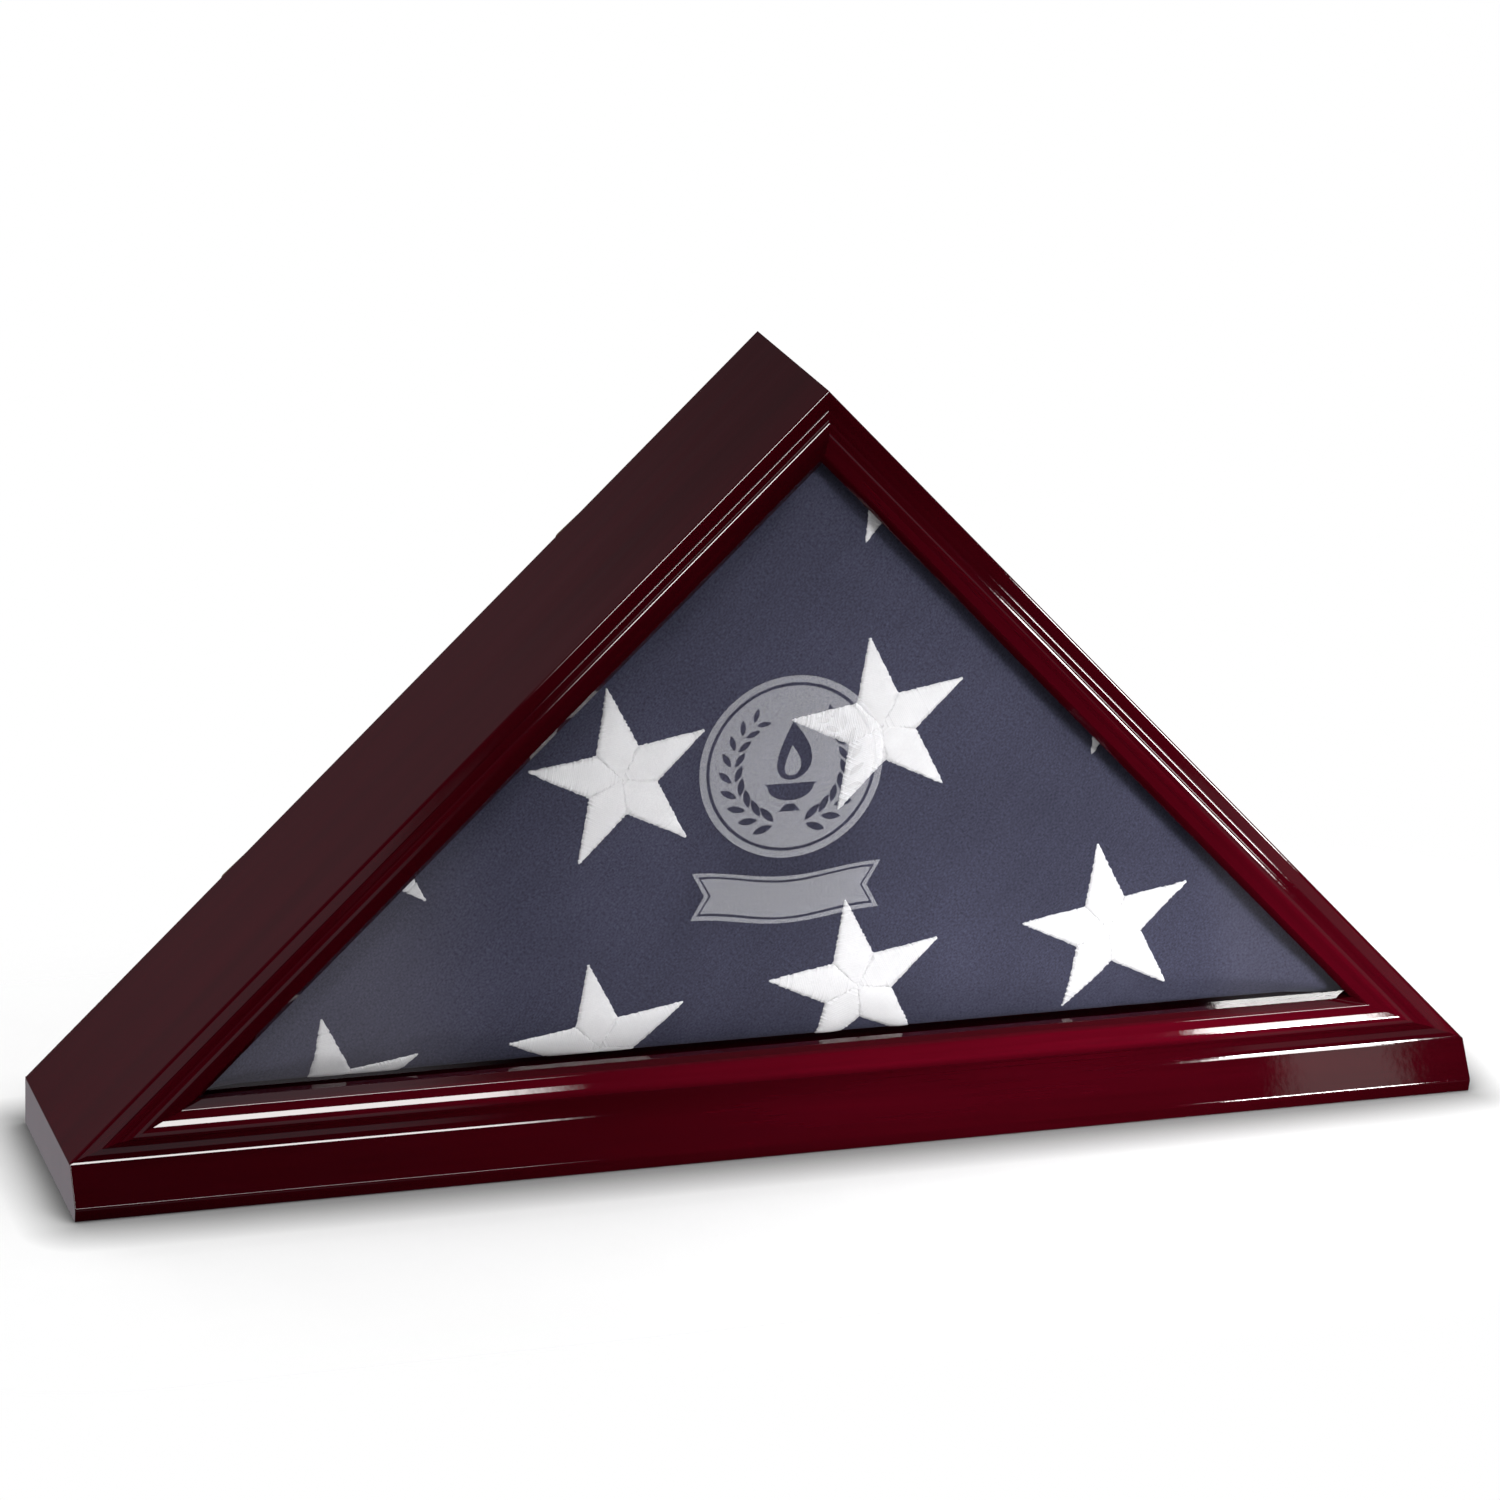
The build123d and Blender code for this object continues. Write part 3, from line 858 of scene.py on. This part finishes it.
def flame():
    """A plain flame over a shallow bowl, with a frosted heart."""

    def teardrop(base, height, width, lean):
        points = []
        for step in range(40):
            angle = 2 * math.pi * step / 40
            share = (1 - math.cos(angle)) / 2
            spread = width / 2 * math.sin(angle) * (1 - share) ** 0.55 * 1.5
            points.append((spread + lean * math.sin(share * math.pi), base + height * share))
        return points

    bowl = [(-12 * MM, -7.5 * MM), (12 * MM, -7.5 * MM)]
    for step in range(13):
        angle = math.pi * step / 12
        bowl.append((10.5 * MM * math.cos(angle), -9 * MM - 6.5 * MM * math.sin(angle)))
    stem = [(-2 * MM, -17 * MM), (2 * MM, -17 * MM), (5 * MM, -20.5 * MM), (-5 * MM, -20.5 * MM)]
    outer = teardrop(-6 * MM, 27 * MM, 14 * MM, 1.6 * MM)
    heart = teardrop(-4 * MM, 14 * MM, 6.5 * MM, 0.8 * MM)
    return [outer, heart, bowl, stem]


def ribbon():
    """A blank ribbon with a gentle wave, forked ends and a clear line just inside its edge."""
    wave = 2.2 * MM

    def band(half_length, half_width, fork):
        steps = 24
        upper, lower = [], []
        for step in range(steps + 1):
            x = -half_length + 2 * half_length * step / steps
            sag = wave * math.cos(x / half_length * math.pi)
            upper.append((x, half_width - sag))
            lower.append((x, -half_width - sag))
        right = [(half_length - fork, wave)]
        left = [(-half_length + fork, wave)]
        return upper + right + lower[::-1] + left

    edge = band(43.5 * MM, 11 * MM, 6 * MM)
    line = band(40.6 * MM, 9.2 * MM, 5.2 * MM)
    field = band(39.2 * MM, 8.1 * MM, 4.8 * MM)
    return [edge, line, field]


def build_emblem(material):
    """Frosted shapes on the front of the glass; an outline inside another swaps frost and clear."""
    medallion = [circle(0, 0, MEDALLION_RADIUS), circle(0, 0, 0.925 * MEDALLION_RADIUS)]
    medallion.append(circle(0, 0, 0.89 * MEDALLION_RADIUS))
    medallion += laurel_branch(1) + laurel_branch(-1) + flame()
    placed = [[(x, z + MEDALLION_HEIGHT) for x, z in outline] for outline in medallion]
    placed += [[(x, z + RIBBON_HEIGHT) for x, z in outline] for outline in ribbon()]
    curve = bpy.data.curves.new("etching", "CURVE")
    curve.dimensions = "2D"
    curve.fill_mode = "BOTH"
    curve.extrude = ETCH_THICKNESS / 2
    for outline in placed:
        spline = curve.splines.new("POLY")
        spline.points.add(len(outline) - 1)
        for point, (x, z) in zip(spline.points, outline):
            point.co = (x, z, 0, 1)
        spline.use_cyclic_u = True
    drawing = bpy.data.objects.new("etching", curve)
    bpy.context.scene.collection.objects.link(drawing)
    graph = bpy.context.evaluated_depsgraph_get()
    mesh = bpy.data.meshes.new_from_object(drawing.evaluated_get(graph))
    bpy.data.objects.remove(drawing)
    mesh.transform(Euler((math.pi / 2, 0, 0)).to_matrix().to_4x4())
    points = vertex_array(mesh)
    points += np.array((EMBLEM_X, GLASS_LOW.y - ETCH_THICKNESS / 2 - 0.02 * MM, 0))
    set_vertices(mesh, points)
    mesh.materials.clear()
    mesh.materials.append(material)
    mesh.name = "etched_emblem"
    emblem = bpy.data.objects.new("etched_emblem", mesh)
    bpy.context.scene.collection.objects.link(emblem)
    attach(emblem, ROOT)
    return emblem


# CAD nodes keep their shape and get their finish here


def paint(node, material):
    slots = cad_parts[node].data.materials
    slots.clear()
    slots.append(material)


def paint_case():
    # one lacquer per side, each with its own grain direction and its own painted shade
    bottom = lacquered_wood("lacquer_painted_shade_bottom", "bottom")
    left_leg = lacquered_wood("lacquer_painted_shade_left_leg", "left")
    right_leg = lacquered_wood("lacquer_painted_shade_right_leg", "right")
    for node in ("base_plinth", "bottom_board", "frame_bottom_moulding"):
        paint(node, bottom)
    for node in ("left_side_board", "frame_left_moulding"):
        paint(node, left_leg)
    for node in ("right_side_board", "frame_right_moulding"):
        paint(node, right_leg)
    strip = painted_board("painted_strip")
    for node in ("glass_retainer_left", "glass_retainer_right", "glass_retainer_bottom"):
        paint(node, strip)
    paint("mitre_splines", bare_wood("bare_wood"))
    paint("glass_pane", clear_glass("clear_glass"))
    paint("back_panel", painted_board("painted_board"))
    paint("panel_lining", felt("felt"))
    brass = plated_metal("satin_brass", (0.83, 0.60, 0.27, 1), 0.26)
    steel = plated_metal("zinc_steel", (0.62, 0.62, 0.64, 1), 0.34)
    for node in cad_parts:
        if node.startswith("turn_button"):
            paint(node, brass)
    paint("plinth_screws", steel)
    paint("retainer_brads", steel)


# Floor, light and camera


def build_floor():
    """A white sweep, darkened by a painted shadow where the case stands on it, that fades into the
    white backdrop.
    """
    half = 2.5
    corners = ((-half, -half, 0), (half, -half, 0), (half, half, 0), (-half, half, 0))
    material, tree = new_material("studio_floor")
    place = object_coordinates(tree)
    speck = noise(tree, place, 40, 3)
    white = mix_colours(tree, speck, (0.88, 0.88, 0.88, 1), (0.90, 0.90, 0.90, 1))
    # painted shadow: ambient occlusion and the distance to the case darken the floor's colour
    painted_contact_shadow = add(tree, "AmbientOcclusion", {"Distance": PAINTED_SHADOW_REACH}, samples=12).outputs["AO"]
    shade = remap(tree, painted_contact_shadow, 0.45, 1.0, 0.6, 1.0)
    clear = add(tree, "BsdfTransparent").outputs[0]
    outside = add(tree, "VectorMath", {0: place}, operation="ABSOLUTE").outputs[0]
    footprint = (CASE_HIGH.x, CASE_HIGH.y, 0)
    outside = add(tree, "VectorMath", {0: outside, 1: footprint}, operation="SUBTRACT").outputs[0]
    outside = add(tree, "VectorMath", {0: outside, 1: (0, 0, 0)}, operation="MAXIMUM").outputs[0]
    distance = add(tree, "VectorMath", {0: outside}, operation="LENGTH").outputs["Value"]
    # painted shadow, darkest at the foot of the case
    shade = product(tree, shade, remap(tree, distance, 0.0, PAINTED_SHADOW_WIDTH, PAINTED_SHADOW_DARKEST, 1.0))
    colour = darken(tree, white, shade)
    paper = add(tree, "BsdfDiffuse", {"Color": colour}).outputs[0]
    fade = remap(tree, distance, FLOOR_FADE[0], FLOOR_FADE[1], smooth=True)
    surface(tree, add(tree, "MixShader", {0: fade, 1: paper, 2: clear}).outputs[0])
    floor = mesh_object("studio_floor", corners, [(0, 1, 2, 3)], material, smooth=False)
    floor.visible_glossy = False


def build_world():
    """White to the camera, even to soft surfaces, and a dark studio with cards to the gloss."""
    world = bpy.data.worlds.new("studio")
    bpy.context.scene.world = world
    world.use_nodes = True
    tree = world.node_tree
    tree.nodes.clear()
    rays = add(tree, "LightPath").outputs
    plain = add(tree, "Background", {"Color": (1, 1, 1, 1), "Strength": 1.0}).outputs[0]
    ambient = add(tree, "Background", {"Color": (1, 1, 1, 1), "Strength": AMBIENT_GLOW}).outputs[0]
    studio = studio_reflections(tree)
    lit = add(tree, "MixShader", {0: rays["Is Glossy Ray"], 1: ambient, 2: studio}).outputs[0]
    seen = add(tree, "MixShader", {0: rays["Is Camera Ray"], 1: lit, 2: plain}).outputs[0]
    add(tree, "OutputWorld", {"Surface": seen})


def studio_reflections(tree):
    """What the lacquer, glass and metal mirror: a dark room with lit cards.

    The angle round a moulding is 0 straight ahead of the case and a quarter turn outwards.
    """
    parts = add(tree, "SeparateXYZ", {0: add(tree, "TexCoord").outputs["Generated"]})
    x, y, z = parts.outputs
    ahead = math_node(tree, "MULTIPLY", y, -1.0)
    rising = math_node(tree, "MULTIPLY", total(tree, x, z), DIAGONAL)
    falling = math_node(tree, "MULTIPLY", math_node(tree, "SUBTRACT", z, x), DIAGONAL)
    elevation = math_node(tree, "ARCTAN2", z, ahead)
    along = {"bottom": x, "left": rising, "right": falling}
    angle = {
        "bottom": elevation,
        "left": math_node(tree, "ARCTAN2", falling, ahead),
        "right": math_node(tree, "ARCTAN2", rising, ahead),
    }

    def patches(group):
        glows = []
        for patch in group:
            inside = window(tree, along[patch.side], patch.span, patch.span_edge)
            around = window(tree, angle[patch.side], patch.angles, patch.angle_edge)
            glows.append(product(tree, inside, around, patch.glow))
        return total(tree, *glows)

    ceiling = product(tree, window(tree, elevation, CEILING_ANGLES, 0.12), CEILING_GLOW)
    behind = remap(tree, y, 0.1, 0.7, smooth=True)
    below = remap(tree, z, 0.02, -0.12, smooth=True)
    floor_behind = product(tree, behind, below, FLOOR_GLOW)
    wall_band = product(tree, window(tree, z, WALL_BAND, 0.06), WALL_BAND_GLOW)
    wall_behind = product(tree, behind, total(tree, wall_band, WALL_GLOW))
    room = total(tree, patches(ROOM_PATCHES), ceiling, floor_behind, wall_behind, ROOM_GLOW)
    cards = patches(LIT_CARDS)
    lit = add(tree, "Background", {"Color": (1, 0.985, 0.97, 1), "Strength": cards}).outputs[0]
    dim = add(tree, "Background", {"Color": (0.98, 0.92, 1.0, 1), "Strength": room}).outputs[0]
    return add(tree, "AddShader", {0: lit, 1: dim}).outputs[0]


def soft_light(name, place, aim, size, power, spread=180):
    """A soft box; the spread is the angle of its beam in degrees. Only the world shows in gloss."""
    lamp = bpy.data.lights.new(name, "AREA")
    lamp.shape = "RECTANGLE"
    lamp.size, lamp.size_y = size
    lamp.energy = power
    lamp.spread = math.radians(spread)
    obj = bpy.data.objects.new(name, lamp)
    obj.location = place
    obj.rotation_euler = (Vector(aim) - Vector(place)).to_track_quat("-Z", "Y").to_euler()
    obj.visible_glossy = False
    bpy.context.scene.collection.objects.link(obj)


def build_lights():
    middle = (0, 0, 0.12)
    soft_light("key_right", (0.58, -1.28, 0.31), (0.28, 0, 0.05), (0.35, 0.35), 1.9, spread=44)
    soft_light("fill_left", (-1.3, -1.6, 0.9), middle, (1.2, 1.2), 7)
    soft_light("top", (0.1, -0.2, 2.0), middle, (1.6, 1.6), 33)
    soft_light("back", (-0.6, 2.2, 1.2), middle, (1.6, 1.2), 10)


def build_camera():
    camera = bpy.data.cameras.new("camera")
    camera.lens = CAMERA_LENS
    camera.sensor_width = 36
    camera.clip_start, camera.clip_end = 0.05, 60
    obj = bpy.data.objects.new("camera", camera)
    level = math.cos(CAMERA_ELEVATION)
    forward = Vector(
        (
            math.sin(CAMERA_AZIMUTH) * level,
            math.cos(CAMERA_AZIMUTH) * level,
            -math.sin(CAMERA_ELEVATION),
        )
    )
    obj.location = CAMERA_TARGET - forward * CAMERA_DISTANCE
    right = Vector((math.cos(CAMERA_AZIMUTH), -math.sin(CAMERA_AZIMUTH), 0))
    up = right.cross(forward)
    right, up = (
        right * math.cos(CAMERA_ROLL) + up * math.sin(CAMERA_ROLL),
        up * math.cos(CAMERA_ROLL) - right * math.sin(CAMERA_ROLL),
    )
    turn = np.array((right, up, -forward)).T
    obj.rotation_mode = "QUATERNION"
    obj.rotation_quaternion = Matrix(turn.tolist()).to_quaternion()
    bpy.context.scene.collection.objects.link(obj)
    bpy.context.scene.camera = obj


paint_case()
flag = build_flag(flag_cloth("navy_cotton"))
build_stars(flag, star_thread("star_thread"))
build_emblem(etched_glass("etched_glass"))
build_floor()
build_world()
build_lights()
build_camera()
bpy.context.scene.view_settings.view_transform = "Standard"
bpy.context.scene.cycles.caustics_reflective = False
bpy.context.scene.cycles.caustics_refractive = False
